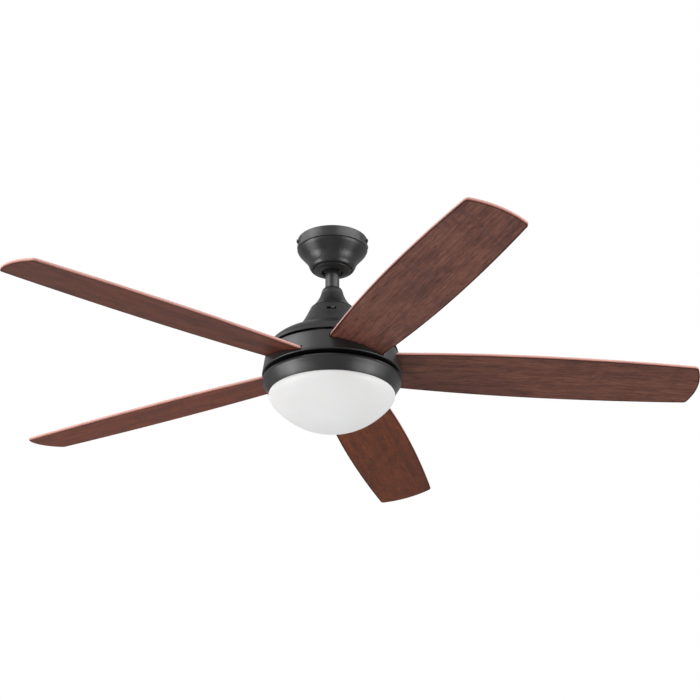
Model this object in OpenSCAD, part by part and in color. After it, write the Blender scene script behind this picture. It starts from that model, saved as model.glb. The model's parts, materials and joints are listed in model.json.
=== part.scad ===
// Ceiling fan with five blades and a bowl light, hung from a ceiling box by a short downrod.
// Origin: fan axis on the ceiling plane. +Z is up, so everything hangs below zero.
// The front of the fan, with the reverse switch, faces -Y.

/* [Blades] */
// Span from tip to tip
blade_span = 1321; // [1300:1:1340]
// Greatest width of a blade
blade_width = 123; // [116:1:125]
// Thickness of a blade
blade_thick = 5.5; // [4.5:0.5:6]
// Angle of each blade to the plane of rotation
blade_pitch = 11.8; // [9:0.1:12]
// How far each blade droops below the horizontal, from its root to its tip
blade_droop = 0.96; // [0.8:0.01:1]
// Direction of the first blade, from +X
blade_azimuth = 5.8; // [0:0.1:71]
// Height of the blades' middle plane at the axis
blade_z = -252.5; // [-253:0.1:-252]

/* [Downrod and hanger] */
// Outer diameter of the downrod
rod_d = 25.4; // [25:0.1:25.6]
// Wall of the downrod
rod_wall = 2.3; // [1.6:0.1:3]
// Diameter of the hanger ball
ball_d = 54; // [53.5:0.1:54]
// Height of the hanger ball's centre
ball_z = -34; // [-34.5:0.1:-33.5]
// Distance between the two ceiling box screws
box_screw_spacing = 88.9; // [86:0.1:90]

/* [Shells] */
// Sheet metal thickness of the canopy, housing and pan
sheet = 1.2; // [0.9:0.1:1.3]
// Wall of the glass bowl
glass_wall = 3; // [2.5:0.1:3.2]

/* [Reverse switch] */
// Width of the slot in the housing's neck
slot_w = 17; // [16:0.5:20]
// Height of the slot
slot_h = 6.2; // [5.4:0.1:6.4]
// Where the knob rests, to the right of the slot's middle
knob_rest_x = 2.5; // [2:0.1:3]

/* [Hidden] */
$fn = 72;
blade_count = 5;
blade_step = 360 / blade_count;
gap = 0.05;

// Colours
charcoal = [0.20, 0.205, 0.21];
walnut = [0.36, 0.20, 0.16];
opal = [0.93, 0.93, 0.92];
zinc = [0.72, 0.72, 0.70];
alloy = [0.62, 0.63, 0.65];
iron = [0.42, 0.42, 0.44];
copper = [0.72, 0.40, 0.22];
resin = [0.08, 0.08, 0.08];

// Blade outline: two long shallow arcs, a shallow arc at the tip and a tapered root
tip_r = blade_span / 2;
root_r = 86;
root_half = 38;
shoulder_r = 112;
widest_r = 385;
edge_curve_in = 1.55e-4;
edge_curve_out = 1.17e-4;
tip_arc_r = 128;
tip_corner_r = 9;
blade_screw_spots = [[95, -20], [95, 20], [105, 0]];

// Height of each horizontal joint line
canopy_top_z = -0.6;
cover_edge_z = -60.4;
cover_opening_r = 36;
cover_lug_r = 36.9;
yoke_top_z = -108;
yoke_bottom_z = -150;
neck_top_z = -141.8;
housing_bottom_z = -229;
band_top_z = -231.6;
band_floor_z = -269.7;
band_bottom_z = -271.4;
pan_top_z = -279.5;
pan_bottom_z = -306.5;
bowl_bottom_z = -371.5;

// Motor
shaft_r = 8.5;
shaft_bore_r = 5.5;
shaft_top_z = -128.5;
shaft_bottom_z = -287;
bearing_r = 17.5;
bearing_w = 10;
upper_bearing_z = -214;
lower_bearing_z = -253.5;
race_pitch_r = 13;
bearing_ball_r = 2.38;
bearing_ball_count = 10;
core_top_z = -227;
core_h = 16;
core_r = 58;
tooth_count = 12;
motor_wall_r = 74.5;
motor_flange_r = 82;
motor_split_z = -235;
motor_floor_z = -258.5;
motor_screw_r = 78.3;
boss_r = 56;
thread_r = 2.05;

// Band
floor_thick = 1.5;
blade_slot_half = 51.8;
blade_slot_room = 1.2;

// Arms
foot_thick = 3.4;
pad_thick = 3;
pad_inner_r = 84;
pad_outer_r = 113;
arm_screw_spots = [50, 64];

// Light kit
lamp_y = 27;
lamp_z = -317;
lamp_socket_r = 16;
lamp_socket_len = 36;
lamp_socket_back_x = -30;
retainer_azimuth = 30;
bowl_unlock_turn = 25;
cover_unlock_turn = 30;
lead_r = 1.1;

// ---- Curves ----

// A point on the smooth curve between b and c, with neighbours a and d
function curve_point(a, b, c, d, t) =
    0.5 * (2 * b + (c - a) * t + (2 * a - 5 * b + 4 * c - d) * t * t
    + (3 * b - a - 3 * c + d) * t * t * t);

// A smooth curve through the points of p, in n steps between each two
function smooth(p, n = 5) = let (last = len(p) - 1)
    [for (i = [0 : last - 1], k = [0 : n - 1])
        curve_point(i == 0 ? 2 * p[0] - p[1] : p[i - 1], p[i], p[i + 1],
            i == last - 1 ? 2 * p[last] - p[last - 1] : p[i + 2], k / n),
        p[last]];

// Points of an arc about [x, y]
function arc(x, y, r, from, to, n = 6) =
    [for (k = [0 : n]) let (a = from + (to - from) * k / n) [x + r * cos(a), y + r * sin(a)]];

// The inward direction at point i of a profile that runs downwards
function inward(p, i) = let (
    a = p[max(i - 1, 0)],
    b = p[min(i + 1, len(p) - 1)],
    d = b - a)
    [d[1], -d[0]] / norm(d);

// The same profile, moved inwards by the wall t
function inner_profile(p, t) =
    [for (i = [0 : len(p) - 1]) let (q = p[i] + t * inward(p, i)) [max(q[0], 0), q[1]]];

// Closed section of a thin wall behind a profile
function wall_section(p, t) = let (q = inner_profile(p, t))
    concat(p, [for (i = [len(q) - 1 : -1 : 0]) q[i]]);

// ---- Profiles, as [radius, height], from the top down ----

canopy_profile = concat(
    [[63.3, canopy_top_z], [64, -1.6]],
    [[64, -20.8], [62.9, -21.8]],
    smooth([[62.9, -22.8], [61.2, -25.6], [57.6, -30], [53.3, -35], [49.1, -40], [45.8, -45],
        [43.4, -50], [41.5, -55], [39.2, -59], [37.2, cover_edge_z]], 3),
    [[cover_opening_r, cover_edge_z]]);

cover_profile = smooth([[33.4, -57.7], [34, -60], [34, -62.2], [31.8, -63.6], [26, -65.2],
    [20, -66]], 4);

coupling_profile = concat(
    smooth([[13.8, -98.7], [16.2, -99.5], [18, -102], [19.4, -106], [21.5, -113.5], [25.8, -123],
        [32, -132.6], [39, -140]], 4),
    [[39.6, -140.7], [39.6, -141.3]]);

housing_profile = concat(
    smooth([[39.9, neck_top_z], [43.2, -148.6], [47.3, -157.4], [52.4, -166.8], [58.3, -176.4],
        [62.8, -184.4]], 4),
    smooth([[63.8, -185.2], [71.5, -189.4], [83.4, -195.4], [96.5, -202.2], [107.8, -210.4],
        [115, -219], [118.4, housing_bottom_z]], 4));

band_profile = [[117.7, band_top_z], [118.3, -233], [119.6, -240], [121.4, -252],
    [123.2, -264], [124, -269], [123.6, -270.6], [122.4, band_bottom_z]];

pan_profile = concat(arc(119.9, -282.8, 3.3, 90, 0),
    smooth([[123, -284.4], [118.4, -292], [114.4, -300], [112, pan_bottom_z]], 4));

bowl_profile = smooth([[110.4, -306.8], [112, -309], [111, -312.6], [107, -319],
    [99.4, -327.8], [88.4, -338.2], [75, -348.6], [58, -358.5], [38, -366.3], [18, -370.4],
    [0, bowl_bottom_z]], 3);

// ---- Small helpers ----

module at_each_blade() {
    for (i = [0 : blade_count - 1])
        rotate([0, 0, blade_azimuth + i * blade_step]) children();
}

// Into the frame of a blade: X runs outwards and Z is square to the blade
module blade_plane() {
    translate([0, 0, blade_z]) rotate([0, blade_droop, 0]) rotate([-blade_pitch, 0, 0])
        children();
}

module tube(r_out, r_in, low, high) {
    translate([0, 0, low])
        difference() {
            cylinder(r = r_out, h = high - low);
            translate([0, 0, -1]) cylinder(r = r_in, h = high - low + 2);
        }
}

module sector(r_in, r_out, low, high, middle, width) {
    rotate([0, 0, middle - width / 2])
        rotate_extrude(angle = width)
            translate([r_in, low]) square([r_out - r_in, high - low]);
}

// Screw along +Z: the shank starts at zero and the head lies below it
module screw(shank_r, len, head_r, head_h) {
    cylinder(r = shank_r, h = len, $fn = 24);
    translate([0, 0, -head_h])
        difference() {
            cylinder(r = head_r, h = head_h, $fn = 32);
            translate([-head_r, -0.5, -1]) cube([2 * head_r, 1, 1.9]);
        }
}

// A round lead that follows a list of points
function lead_ring(p, i, r, sides) = let (
    a = p[max(i - 1, 0)],
    b = p[min(i + 1, len(p) - 1)],
    d = (b - a) / norm(b - a),
    side = abs(d[0]) > 0.9 ? [0, 1, 0] : [1, 0, 0],
    u = cross(d, side) / norm(cross(d, side)),
    v = cross(d, u))
    [for (k = [0 : sides - 1]) let (t = 360 * k / sides) p[i] + r * (cos(t) * u + sin(t) * v)];

module lead(p, r, sides = 8) {
    rings = len(p);
    points = [for (i = [0 : rings - 1]) each lead_ring(p, i, r, sides)];
    walls = [for (i = [0 : rings - 2], k = [0 : sides - 1]) let (n = (k + 1) % sides)
        [i * sides + k, (i + 1) * sides + k, (i + 1) * sides + n, i * sides + n]];
    first = [for (k = [0 : sides - 1]) k];
    end = [for (k = [sides - 1 : -1 : 0]) (rings - 1) * sides + k];
    polyhedron(points, concat([first], walls, [end]));
}

// ---- Ceiling side ----

canopy_screw_y = 13;
canopy_screw_z = -7;
flange_x = 57;
flange_thick = 2;

module at_canopy_screws() {
    for (side = [0, 180], y = [-canopy_screw_y, canopy_screw_y])
        rotate([0, 0, side]) translate([0, y, canopy_screw_z]) rotate([0, 90, 0]) children();
}

module bracket_plate() {
    plate = 2;
    translate([-flange_x - flange_thick, -17.5, -plate])
        cube([2 * (flange_x + flange_thick), 35, plate]);
    translate([-20, -50, -plate]) cube([40, 34, plate]);
    for (side = [-1, 1]) {
        translate([side * (flange_x + flange_thick / 2) - flange_thick / 2, -17.5, -14])
            cube([flange_thick, 35, 13]);
        translate([side * 36.75 - 1.25, -14, -52]) cube([2.5, 28, 51]);
    }
}

module bracket_socket() {
    // Ring with a spherical seat, open at the back so that the rod can enter
    seat_r = ball_d / 2 + 0.3;
    difference() {
        translate([0, 0, -52]) cylinder(r = 36.6, h = 13);
        translate([0, 0, ball_z]) sphere(r = seat_r, $fn = 96);
        translate([-14.5, 10, -53]) cube([29, 40, 15]);
    }
    // Key tab that stops the ball from turning
    translate([-2, -28, -46]) cube([4, 4.2, 6]);
}

module hanger_bracket() {
    color(zinc) difference() {
        union() {
            bracket_plate();
            bracket_socket();
        }
        translate([0, 0, -3]) cylinder(r = 12, h = 4);
        for (side = [-1, 1]) {
            translate([side * box_screw_spacing / 2 - 3.5, 0, -3]) cylinder(r = 2.6, h = 4);
            translate([side * box_screw_spacing / 2 + 3.5, 0, -3]) cylinder(r = 2.6, h = 4);
            translate([side * box_screw_spacing / 2 - 3.5, -2.6, -3]) cube([7, 5.2, 4]);
        }
        at_canopy_screws() translate([0, 0, flange_x - 1]) cylinder(r = 2.05, h = 4, $fn = 24);
    }
}

module canopy() {
    color(charcoal) difference() {
        rotate_extrude() polygon(wall_section(canopy_profile, sheet));
        at_canopy_screws() translate([0, 0, 55]) cylinder(r = 2.4, h = 10, $fn = 24);
        // Two opposite holes are open upwards, so that the canopy can be offered up
        for (side = [0, 180])
            rotate([0, 0, side])
                translate([55, canopy_screw_y - 2.4, canopy_screw_z]) cube([10, 4.8, 9]);
        // Entry notches for the cover's lugs
        for (turn = [0, 120, 240])
            sector(cover_opening_r - 1, cover_lug_r + 0.4, cover_edge_z - 1, cover_edge_z + 2,
                turn - cover_unlock_turn, 24);
    }
}

module canopy_screws() {
    color(charcoal) at_canopy_screws() translate([0, 0, 63.5]) mirror([0, 0, 1])
        screw(2, 7, 3.8, 1.8);
}

module remote_receiver() {
    color(resin) difference() {
        translate([-29, -52, -19]) cube([58, 21, 16.8]);
        translate([-26, -49, -19.5]) cube([52, 15, 1.1]);
        for (x = [-27.4, 27.4], y = [-50.4, -32.6])
            translate([x, y, -19.5]) cylinder(r = 0.9, h = 3, $fn = 24);
    }
}

module canopy_cover() {
    color(charcoal) {
        rotate_extrude() polygon(wall_section(cover_profile, sheet));
        for (turn = [0, 120, 240]) sector(33, cover_lug_r, -58.9, -57.7, turn, 20);
    }
}

// ---- Hanging side ----

module rod_cross_hole(z, r) {
    translate([-40, 0, z]) rotate([0, 90, 0]) cylinder(r = r, h = 80, $fn = 32);
}

pin_r = 3;
clevis_z = -118;

module hanger_ball() {
    color(charcoal) difference() {
        intersection() {
            translate([0, 0, ball_z]) sphere(r = ball_d / 2, $fn = 96);
            translate([0, 0, ball_z - 22]) cylinder(r = 40, h = 42);
        }
        translate([0, 0, ball_z - 30]) cylinder(r = rod_d / 2 + gap, h = 60);
        rod_cross_hole(ball_z, pin_r + gap);
        translate([-2.7, -30, ball_z - 30]) cube([5.4, 8.8, 60]);
        translate([0, 0, ball_z + 8]) rotate([-90, 0, 0]) cylinder(r = 2.55, h = 40, $fn = 32);
    }
}

module hanger_pin() {
    color(zinc) translate([-24, 0, ball_z]) rotate([0, 90, 0])
        cylinder(r = pin_r, h = 48, $fn = 32);
}

module ball_set_screw() {
    color(zinc) translate([0, rod_d / 2 + gap, ball_z + 8]) rotate([-90, 0, 0])
        difference() {
            cylinder(r = 2.5, h = 10, $fn = 32);
            translate([0, 0, 6]) cylinder(r = 1.4, h = 5, $fn = 6);
        }
}

module downrod() {
    color(charcoal) difference() {
        tube(rod_d / 2, rod_d / 2 - rod_wall, -127, -20);
        rod_cross_hole(ball_z, pin_r + gap);
        rod_cross_hole(clevis_z, pin_r + gap);
    }
}

yoke_bore_floor_z = -127.2;
yoke_screw_z = -134.5;
housing_screw_r = 28;

module at_housing_screws() {
    for (turn = [30, 150, 270]) rotate([0, 0, turn]) translate([housing_screw_r, 0, 0])
        children();
}

module motor_yoke() {
    color(alloy) difference() {
        rotate_extrude() polygon([[0, yoke_top_z], [15.8, yoke_top_z], [16.6, -109.5],
            [17, -127], [19, -130], [19, -138], [20, -143.5], [34, -143.5], [34, -147.2],
            [20, -148.2], [17, yoke_bottom_z], [0, yoke_bottom_z]]);
        translate([0, 0, yoke_bore_floor_z]) cylinder(r = rod_d / 2 + gap, h = 30);
        translate([0, 0, yoke_bottom_z - 1]) cylinder(r = shaft_r + gap, h = 30);
        rod_cross_hole(clevis_z, pin_r + gap);
        translate([0, 0, yoke_screw_z]) rotate([-90, 0, 0]) translate([0, 0, -30])
            cylinder(r = 2.55, h = 60, $fn = 32);
        at_housing_screws() translate([0, 0, -149]) cylinder(r = 2.1, h = 8, $fn = 24);
    }
}

module clevis_pin() {
    color(zinc) difference() {
        translate([-18.6, 0, clevis_z]) rotate([0, 90, 0]) {
            cylinder(r = pin_r, h = 39, $fn = 32);
            cylinder(r = 5, h = 1.5, $fn = 32);
        }
        translate([18.9, 0, clevis_z - 5]) cylinder(r = 0.75, h = 10, $fn = 24);
    }
}

module cotter_pin() {
    // A wire through the clevis pin's end hole, with its eye below
    color(zinc) {
        translate([18.9, 0, clevis_z - 5.6]) cylinder(r = 0.7, h = 10, $fn = 24);
        translate([18.9, -1.6, clevis_z - 5.6]) rotate([0, 90, 0]) rotate_extrude()
            translate([1.6, 0]) circle(r = 0.65, $fn = 24);
    }
}

module yoke_set_screws() {
    color(zinc) for (turn = [0, 180])
        rotate([0, 0, turn]) translate([0, shaft_r + gap, yoke_screw_z]) rotate([-90, 0, 0])
            difference() {
                cylinder(r = 2.5, h = 11.6, $fn = 32);
                translate([0, 0, 8]) cylinder(r = 1.4, h = 5, $fn = 6);
            }
}

module coupling_cover() {
    color(charcoal) difference() {
        union() {
            rotate_extrude() polygon(wall_section(coupling_profile, sheet));
            tube(15, rod_d / 2 + 0.3, -102, -99.3);
        }
        translate([0, 0, -102.5]) cylinder(r = rod_d / 2 + 0.3, h = 6);
    }
}

module upper_housing() {
    color(charcoal) difference() {
        union() {
            rotate_extrude() polygon(wall_section(housing_profile, sheet));
            tube(39.6, 20.4, neck_top_z - 1.6, neck_top_z - 0.2);
        }
        translate([-slot_w / 2, -60, switch_z - slot_h / 2]) cube([slot_w, 30, slot_h]);
        at_housing_screws() translate([0, 0, -144]) cylinder(r = 2.3, h = 4, $fn = 24);
    }
}

module housing_screws() {
    color(zinc) at_housing_screws() translate([0, 0, neck_top_z - 0.15]) mirror([0, 0, 1])
        screw(2, 6.2, 3.6, 2.2);
}

switch_front_y = -41.5;
switch_z = -157.8;
knob_w = 6.6;
knob_h = 3.2;
knob_lift = 1.2;

module reverse_switch() {
    color(resin) difference() {
        union() {
            translate([-12, switch_front_y, switch_z - 4.8]) cube([24, 8, 9.6]);
            for (x = [-7, 0, 7]) translate([x - 1.2, switch_front_y + 8, switch_z - 0.4])
                cube([2.4, 5, 0.8]);
        }
        translate([-8, switch_front_y - 1, switch_z - 1.5]) cube([16, 5, 3]);
    }
}

module reverse_switch_knob() {
    color(iron) translate([knob_rest_x, 0, switch_z]) {
        translate([-1.5, switch_front_y - 1, -1.2]) cube([3, 4.6, 2.4]);
        hull() {
            translate([-knob_w / 2, switch_front_y - 2, knob_lift - knob_h / 2])
                cube([knob_w, 1.6, knob_h]);
            translate([-knob_w / 2 + 0.8, -49.3, knob_lift - knob_h / 2 + 0.5])
                cube([knob_w - 1.6, 2, knob_h - 1]);
        }
    }
}

// ---- Motor ----

module motor_shaft() {
    color(iron) tube(shaft_r, shaft_bore_r, shaft_bottom_z, shaft_top_z);
}

module at_each_tooth() {
    for (i = [0 : tooth_count - 1]) rotate([0, 0, i * 360 / tooth_count]) children();
}

module stator_core() {
    low = core_top_z - core_h;
    color(iron) difference() {
        union() {
            tube(28, shaft_r + gap, low, core_top_z);
            tube(core_r, 53, low, core_top_z);
            at_each_tooth() translate([26, -4, low]) cube([29, 8, core_h]);
        }
        at_each_tooth() rotate([0, 0, 180 / tooth_count])
            translate([50, -1.5, low - 1]) cube([12, 3, core_h + 2]);
    }
}

module stator_windings() {
    low = core_top_z - core_h;
    color(copper) at_each_tooth() difference() {
        translate([32, -7, low - 4]) cube([17, 14, core_h + 8]);
        translate([31, -4 - gap, low - gap]) cube([19, 8 + 2 * gap, core_h + 2 * gap]);
    }
}

module race(r_in, r_out) {
    difference() {
        tube(r_out, r_in, -bearing_w / 2, bearing_w / 2);
        rotate_extrude() translate([race_pitch_r, 0]) circle(r = bearing_ball_r + 0.3, $fn = 48);
    }
}

module at_each_bearing() {
    for (z = [upper_bearing_z, lower_bearing_z]) translate([0, 0, z]) children();
}

module bearing_inner_races() {
    color(zinc) at_each_bearing() race(shaft_r + gap, 11.6);
}

module bearing_outer_races() {
    color(zinc) at_each_bearing() race(14.4, bearing_r - gap);
}

module at_each_ball() {
    for (i = [0 : bearing_ball_count - 1])
        rotate([0, 0, i * 360 / bearing_ball_count]) translate([race_pitch_r, 0, 0]) children();
}

module bearing_balls() {
    color(zinc) at_each_bearing() at_each_ball() sphere(r = bearing_ball_r, $fn = 32);
}

module bearing_cages() {
    color("goldenrod") at_each_bearing() difference() {
        tube(13.7, 12.3, -3.4, 3.4);
        at_each_ball() rotate([0, 90, 0]) translate([0, 0, -2])
            cylinder(r = bearing_ball_r + gap, h = 4, $fn = 32);
    }
}

module at_motor_screws() {
    at_each_blade() rotate([0, 0, blade_step / 2]) translate([motor_screw_r, 0, 0]) children();
}

// The bosses of the motor's lower cover, which carry the band
module at_bosses() {
    at_each_blade() rotate([0, 0, blade_step / 2]) translate([boss_r, 0, 0]) children();
}

module motor_upper_cover() {
    color(alloy) difference() {
        rotate_extrude() polygon([[bearing_r, -219.2], [bearing_r, -209], [12.4, -208.8],
            [12.4, -206.6], [22, -206.6], [24, -214], [64, -214], [71, -218],
            [motor_wall_r, -224], [motor_wall_r, -231.6], [motor_flange_r, -231.6],
            [motor_flange_r, motor_split_z], [70.6, motor_split_z], [70.6, -222],
            [66, -217.6], [21.4, -217.6], [21.4, -219.2]]);
        at_motor_screws() translate([0, 0, -236]) cylinder(r = 2.1, h = 6, $fn = 24);
    }
}

module motor_lower_cover() {
    color(alloy) difference() {
        union() {
            rotate_extrude() polygon([[70.6, motor_split_z], [motor_flange_r, motor_split_z],
                [motor_flange_r, -238.4], [motor_wall_r, -238.4], [motor_wall_r, -250],
                [69, motor_floor_z], [30, motor_floor_z], [24, -260.4], [12.4, -260.4],
                [12.4, -258.6], [bearing_r, -258.6], [bearing_r, -248.4], [21.4, -248.4], [21.4, -255],
                [66, -255], [70.6, -248]]);
            at_bosses() translate([0, 0, band_floor_z + gap])
                cylinder(r = 5, h = motor_floor_z - band_floor_z + 1, $fn = 32);
        }
        at_motor_screws() translate([0, 0, -239]) cylinder(r = 2.1, h = 6, $fn = 24);
        at_each_blade() for (x = arm_screw_spots) translate([x, 0, -260])
            cylinder(r = thread_r, h = 6, $fn = 24);
        at_bosses() translate([0, 0, band_floor_z - 1])
            cylinder(r = thread_r, h = motor_floor_z - band_floor_z + 0.5, $fn = 24);
    }
}

module rotor_cage() {
    color(alloy) difference() {
        tube(70.5, core_r + 0.6, -246, -224);
        for (i = [0 : 35]) rotate([0, 0, i * 10]) translate([core_r + 0.6, 0, -247])
            cylinder(r = 1.3, h = 24, $fn = 24);
    }
}

module motor_screws() {
    color(zinc) at_motor_screws() {
        translate([0, 0, -238.45]) screw(2, 8.4, 3.4, 2);
    }
}

module housing_band() {
    slot_low = -blade_thick / 2 - blade_slot_room;
    color(charcoal) difference() {
        union() {
            rotate_extrude() polygon(wall_section(band_profile, sheet));
            tube(123, 36, band_floor_z - floor_thick, band_floor_z);
        }
        at_each_blade() blade_plane() translate([104, -blade_slot_half, slot_low])
            cube([26, 2 * blade_slot_half, -2 * slot_low]);
        at_bosses() translate([0, 0, band_floor_z - 3]) cylinder(r = 2.3, h = 4, $fn = 24);
    }
}

module band_screws() {
    color(zinc) at_bosses() translate([0, 0, band_floor_z - floor_thick - gap])
        screw(2, 9, 4, 2.2);
}

// ---- Blades ----

function blade_half(u) = blade_width / 2
    - (u < widest_r ? edge_curve_in : edge_curve_out) * pow(u - widest_r, 2);

blade_outline = let (
    corner_u = tip_r - 19,
    corner_y = blade_half(corner_u) - tip_corner_r,
    tip_x = tip_r - tip_arc_r,
    tip_turn = asin(corner_y / (tip_arc_r - tip_corner_r)),
    corner_x = tip_x + (tip_arc_r - tip_corner_r) * cos(tip_turn),
    half = concat(
        [for (k = [0 : 10]) let (u = shoulder_r + (corner_x - shoulder_r) * k / 10)
            [u, blade_half(u)]],
        [for (k = [1 : 5]) let (a = 90 - (90 - tip_turn) * k / 6)
            [corner_x + tip_corner_r * cos(a), corner_y + tip_corner_r * sin(a)]],
        [for (k = [0 : 6]) let (a = tip_turn * (1 - k / 6))
            [tip_x + tip_arc_r * cos(a), tip_arc_r * sin(a)]]))
    concat([[root_r, root_half]], half,
        [for (i = [len(half) - 2 : -1 : 0]) [half[i][0], -half[i][1]]],
        [[root_r, -root_half]]);

module blade(i) {
    color(walnut) rotate([0, 0, blade_azimuth + i * blade_step]) blade_plane()
        difference() {
            translate([0, 0, -blade_thick / 2]) linear_extrude(blade_thick)
                polygon(blade_outline);
            for (s = blade_screw_spots) translate([s[0], s[1], -10])
                cylinder(r = 2.6, h = 20, $fn = 24);
        }
}

pad_top = -blade_thick / 2 - gap;

// The pad under the blade's root; inset shrinks it all round
module arm_pad(from, to, inset = 0) {
    translate([from, inset - 33, pad_top - pad_thick + inset])
        cube([to - from, 66 - 2 * inset, pad_thick - 2 * inset]);
}

module blade_arm(i) {
    foot_low = motor_floor_z - gap - foot_thick;
    color(iron) rotate([0, 0, blade_azimuth + i * blade_step]) difference() {
        union() {
            translate([42, -16, foot_low]) cube([32, 32, foot_thick]);
            hull() {
                translate([71, -15.6, foot_low + 0.4]) cube([1, 31.2, foot_thick - 0.8]);
                blade_plane() arm_pad(pad_inner_r + 1, pad_inner_r + 3, 0.4);
            }
            blade_plane() arm_pad(pad_inner_r, pad_outer_r);
        }
        for (x = arm_screw_spots) translate([x, 0, foot_low - 1])
            cylinder(r = 2.3, h = foot_thick + 2, $fn = 24);
        blade_plane() for (s = blade_screw_spots) translate([s[0], s[1], -12])
            cylinder(r = 2.1, h = 12, $fn = 24);
    }
}

module arm_screws() {
    color(zinc) at_each_blade() for (x = arm_screw_spots)
        translate([x, 0, motor_floor_z - 2 * gap - foot_thick]) screw(2, 6.8, 3.6, 1.8);
}

module blade_screws() {
    color(zinc) at_each_blade() blade_plane() for (s = blade_screw_spots)
        translate([s[0], s[1], blade_thick / 2 + gap]) mirror([0, 0, 1])
            screw(2, blade_thick + 2.9, 4.4, 2);
}

// ---- Light kit ----

pan_screw_r = 44;

module at_pan_screws() {
    for (turn = [90, 210, 330]) rotate([0, 0, turn]) translate([pan_screw_r, 0, 0]) children();
}

module light_adapter() {
    color(zinc) difference() {
        union() {
            tube(56, shaft_r + gap, pan_top_z + 0.2, -276.6);
            tube(15, shaft_r + gap, -278, -272.6);
        }
        at_pan_screws() translate([0, 0, -280]) cylinder(r = 2.05, h = 5, $fn = 24);
    }
}

module shaft_nut() {
    color(zinc) difference() {
        translate([0, 0, pan_top_z - 5.8]) cylinder(r = 13.8, h = 5.8, $fn = 6);
        translate([0, 0, pan_top_z - 7]) cylinder(r = shaft_r + gap, h = 9);
    }
}

module light_pan() {
    color(charcoal) difference() {
        union() {
            rotate_extrude() polygon(wall_section(pan_profile, sheet));
            tube(120.4, 15, pan_top_z - sheet, pan_top_z);
        }
        at_pan_screws() translate([0, 0, -281]) cylinder(r = 2.3, h = 3, $fn = 24);
    }
}

module pan_screws() {
    color(zinc) at_pan_screws() translate([0, 0, pan_top_z - sheet - 1.5]) screw(2, 5.8, 3.8, 2);
}

module at_retainers() {
    for (i = [0 : 2]) rotate([0, 0, retainer_azimuth + 120 * i - 5]) children();
}

module bowl_retainers() {
    color(zinc) at_retainers() rotate_extrude(angle = 10)
        polygon([[105.6, -302], [112, -302], [112.6, -300.2], [115.4, -294.6],
            [114.4, -294.6], [111.6, -300.4], [105.6, -300.4]]);
}

module glass_bowl() {
    neck = [[110.2, -297.2], [110.2, -300.1], [105.2, -300.4], [105.2, -303.4]];
    inside = inner_profile(bowl_profile, glass_wall);
    inside_low = [for (i = [len(inside) - 1 : -1 : 2]) inside[i]];
    color(opal) difference() {
        rotate_extrude() polygon(concat(neck, bowl_profile, inside_low,
            [[102, -305], [102, -297.2]]));
        // Gaps in the lip that pass the retainers when the bowl is turned back
        for (i = [0 : 2])
            sector(105.3, 112, -301, -296, retainer_azimuth + 120 * i + bowl_unlock_turn, 14);
    }
}

module each_lamp() {
    for (turn = [0, 180]) rotate([0, 0, turn]) translate([0, lamp_y, lamp_z]) children();
}

module socket_bracket() {
    plate_top = pan_top_z - sheet - 0.1;
    tab_low = lamp_z - 17 - plate_top;
    color(zinc) difference() {
        union() {
            translate([0, 0, plate_top - 1.2]) cylinder(r = 52, h = 1.2);
            each_lamp() translate([lamp_socket_back_x - 1.6, -14, plate_top - lamp_z + tab_low])
                cube([1.5, 28, -tab_low - 0.2]);
        }
        translate([0, 0, plate_top - 2]) cylinder(r = 15, h = 4);
        at_pan_screws() translate([0, 0, -283]) cylinder(r = 2.3, h = 4, $fn = 24);
        each_lamp() translate([lamp_socket_back_x - 4, 0, 0]) rotate([0, 90, 0])
            cylinder(r = 5, h = 5, $fn = 32);
    }
}

module lamp_sockets() {
    color(opal) each_lamp() translate([lamp_socket_back_x, 0, 0]) rotate([0, 90, 0])
        difference() {
            union() {
                cylinder(r = 13, h = 8);
                translate([0, 0, 8]) cylinder(r1 = 13, r2 = lamp_socket_r, h = 4);
                translate([0, 0, 12]) cylinder(r = lamp_socket_r, h = lamp_socket_len - 12);
            }
            translate([0, 0, 10]) cylinder(r = 13.4, h = lamp_socket_len);
            translate([0, 0, -1]) cylinder(r = 4.4, h = 12, $fn = 32);
        }
}

bulb_back_x = lamp_socket_back_x + 11;

module bulb_bases() {
    color(zinc) each_lamp() translate([bulb_back_x, 0, 0]) rotate([0, 90, 0]) {
        cylinder(r1 = 4.6, r2 = 7, h = 3);
        translate([0, 0, 3]) cylinder(r1 = 7, r2 = 12.6, h = 2.4);
        for (i = [0 : 5]) translate([0, 0, 5.4 + i * 3]) {
            cylinder(r1 = 12.2, r2 = 13, h = 1.5);
            translate([0, 0, 1.5]) cylinder(r1 = 13, r2 = 12.2, h = 1.5);
        }
    }
}

module bulb_globes() {
    color(opal) each_lamp() translate([bulb_back_x, 0, 0]) rotate([0, 90, 0])
        rotate_extrude() polygon(concat([[0, 23.5], [12.4, 23.5], [13.4, 27], [14.4, 33]],
            smooth([[15.6, 38], [19.4, 46], [22.9, 55], [23.8, 63], [22.4, 71.4], [17.6, 79.4],
                [10, 84.4], [0, 86]], 3)));
}

module light_plug() {
    color(opal) {
        translate([-7, -4.5, -300]) cube([14, 9, 9.6]);
        translate([-8, -5.5, -303]) cube([16, 11, 3]);
    }
}

// ---- Leads, each on a route chosen by hand ----

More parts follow.
